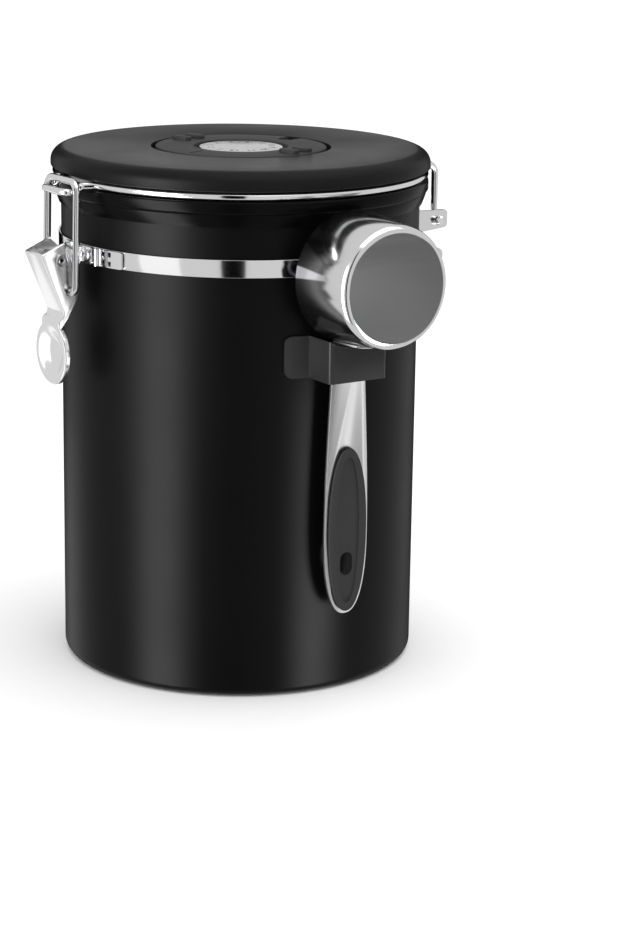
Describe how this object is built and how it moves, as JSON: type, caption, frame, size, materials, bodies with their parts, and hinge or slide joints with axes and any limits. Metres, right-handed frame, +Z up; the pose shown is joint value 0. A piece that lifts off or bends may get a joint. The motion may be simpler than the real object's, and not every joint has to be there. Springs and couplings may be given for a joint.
{
  "type": "coffee canister",
  "caption": "Lidded steel canister with a wire bail clamp, a date dial in the lid, a one-way vent and a long-handled scoop held on its side.",
  "frame": {"origin": "centre of the flat base", "axes": "+Z up through the lid, latch at -X, lid hinge at +X, scoop at -Y"},
  "size_m": [0.152, 0.1589, 0.1783],
  "materials": {
    "body_paint": "satin charcoal paint",
    "polished_steel": "polished",
    "brushed_steel": "brushed",
    "black_plastic": "matt",
    "white_plate": "satin",
    "silicone": "matt",
    "grip_rubber": "matt"
  },
  "bodies": {
    "jar": {"canister_body": "body_paint", "collar_ring": "body_paint", "neck_band": "polished_steel", "band_buckle": "polished_steel", "latch_base": "polished_steel", "latch_rivet_1": "polished_steel", "latch_rivet_2": "polished_steel", "latch_pivot": "polished_steel", "hinge_bracket": "brushed_steel", "hinge_rivet_1": "polished_steel", "hinge_rivet_2": "polished_steel", "scoop_holder": "body_paint"},
    "lid": {"lid_wire": "polished_steel", "lid_cover": "body_paint", "lid_inner": "black_plastic", "lid_gasket": "silicone", "date_plate": "white_plate", "dial_axle": "polished_steel", "valve_body": "black_plastic", "valve_flap": "silicone", "valve_cap": "black_plastic"},
    "day_dial": {"day_ring": "black_plastic"},
    "month_dial": {"month_disc": "brushed_steel"},
    "lever": {"latch_lever": "polished_steel"},
    "bail": {"bail_wire": "polished_steel"},
    "scoop": {"scoop_cup": "brushed_steel", "scoop_handle": "brushed_steel", "scoop_grip": "grip_rubber"}
  },
  "joints": [
    {"name": "lid_hinge", "type": "hinge", "parent": "jar", "child": "lid", "pos_m": [0.0685, 0, 0.1488], "axis": [0, 1, 0], "range_deg": [0, 105]},
    {"name": "lever_swing", "type": "hinge", "parent": "jar", "child": "lever", "pos_m": [-0.0724, 0, 0.1442], "axis": [0, 1, 0], "range_deg": [0, 120]},
    {"name": "bail_swing", "type": "hinge", "parent": "lever", "child": "bail", "pos_m": [-0.0692, 0, 0.1336], "axis": [0, 1, 0], "range_deg": [-93, 0]},
    {"name": "day_turn", "type": "hinge", "parent": "lid", "child": "day_dial", "pos_m": [0, 0, 0.1749], "axis": [0, 0, 1], "continuous": true},
    {"name": "month_turn", "type": "hinge", "parent": "lid", "child": "month_dial", "pos_m": [0, 0, 0.1749], "axis": [0, 0, 1], "continuous": true},
    {"name": "scoop_lift", "type": "slide", "parent": "jar", "child": "scoop", "axis": [0, 0, 1], "range_m": [0, 0.095]}
  ],
  "couplings": [
    {"joint": "bail_swing", "follows": "lever_swing", "ratio": -0.77}
  ]
}
